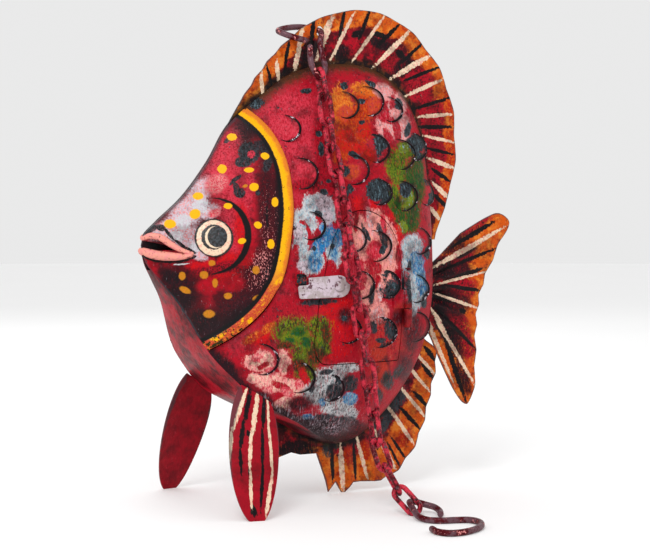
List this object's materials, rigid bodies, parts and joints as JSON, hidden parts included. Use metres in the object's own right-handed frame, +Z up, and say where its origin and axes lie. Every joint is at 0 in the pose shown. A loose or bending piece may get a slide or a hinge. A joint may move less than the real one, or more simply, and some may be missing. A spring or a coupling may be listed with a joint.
{
  "type": "fish lantern",
  "caption": "Painted sheet-metal fish lantern standing on its fins, hollow for a candle, with a hinged door and pivoting latch in its flank and a hanging chain with hooks.",
  "frame": {"origin": "middle of the rear foot's sole, the spike of the anal fin, on the surface that the lantern stands on and in the fish's middle plane", "axes": "+Z up, +X towards the tail, -X towards the nose, -Y out of the flank that has the door"},
  "size_m": [0.2941, 0.2511, 0.34],
  "materials": {
    "painted_body": "hand-brushed crimson enamel with pink, orange, green, blue and white patches, satin, worn to dark metal at the raised edges",
    "painted_head": "hand-brushed maroon to lilac enamel with yellow dots and an orange gill line, satin",
    "painted_fin": "orange and maroon enamel with cream and black rays, satin",
    "painted_foot_fin": "crimson enamel with cream and black stripes outside, plain dark red inside",
    "painted_latch": "grey-white enamel with red chips",
    "painted_chain": "thin rose paint worn to dark steel",
    "bare_wire": "dark steel wire with traces of paint"
  },
  "bodies": {
    "fish": {"flank_left": "painted_body", "flank_right": "painted_body", "head": "painted_head", "belly_band": "painted_body", "dorsal_fin": "painted_fin", "tail_fin": "painted_fin", "anal_fin": "painted_fin", "pelvic_fin_left": "painted_foot_fin", "pelvic_fin_right": "painted_foot_fin", "hinge_pin": "bare_wire"},
    "door": {"door": "painted_body", "latch_rivet": "painted_latch"},
    "latch": {"latch_strap": "painted_latch"},
    "chain": {"top_hook": "bare_wire", "chain_link_01": "painted_chain", "chain_link_02": "painted_chain", "chain_link_03": "painted_chain", "chain_link_04": "painted_chain", "chain_link_05": "painted_chain", "chain_link_06": "painted_chain", "chain_link_07": "painted_chain", "chain_link_08": "painted_chain", "chain_link_09": "painted_chain", "chain_link_10": "painted_chain", "chain_link_11": "painted_chain", "chain_link_12": "painted_chain", "chain_link_13": "painted_chain", "chain_link_14": "painted_chain", "chain_link_15": "painted_chain", "chain_link_16": "painted_chain", "chain_link_17": "painted_chain", "floor_hook": "bare_wire"}
  },
  "joints": [
    {"name": "door_hinge", "type": "hinge", "parent": "fish", "child": "door", "pos_m": [0.0243, -0.0489, 0.1385], "axis": [0, 0, 1], "range_deg": [0, 100]},
    {"name": "latch_pivot", "type": "hinge", "parent": "door", "child": "latch", "pos_m": [-0.02915, -0.04791, 0.14818], "axis": [-0.2475, -0.9519, 0.1809], "range_deg": [0, 50]},
    {"name": "chain_swing", "type": "hinge", "parent": "fish", "child": "chain", "pos_m": [-0.0183, 0, 0.3235], "axis": [-1, 0, 0], "range_deg": [0, 42.5]}
  ],
  "couplings": [
    {"joint": "chain_swing", "follows": "door_hinge", "ratio": 0.42}
  ]
}
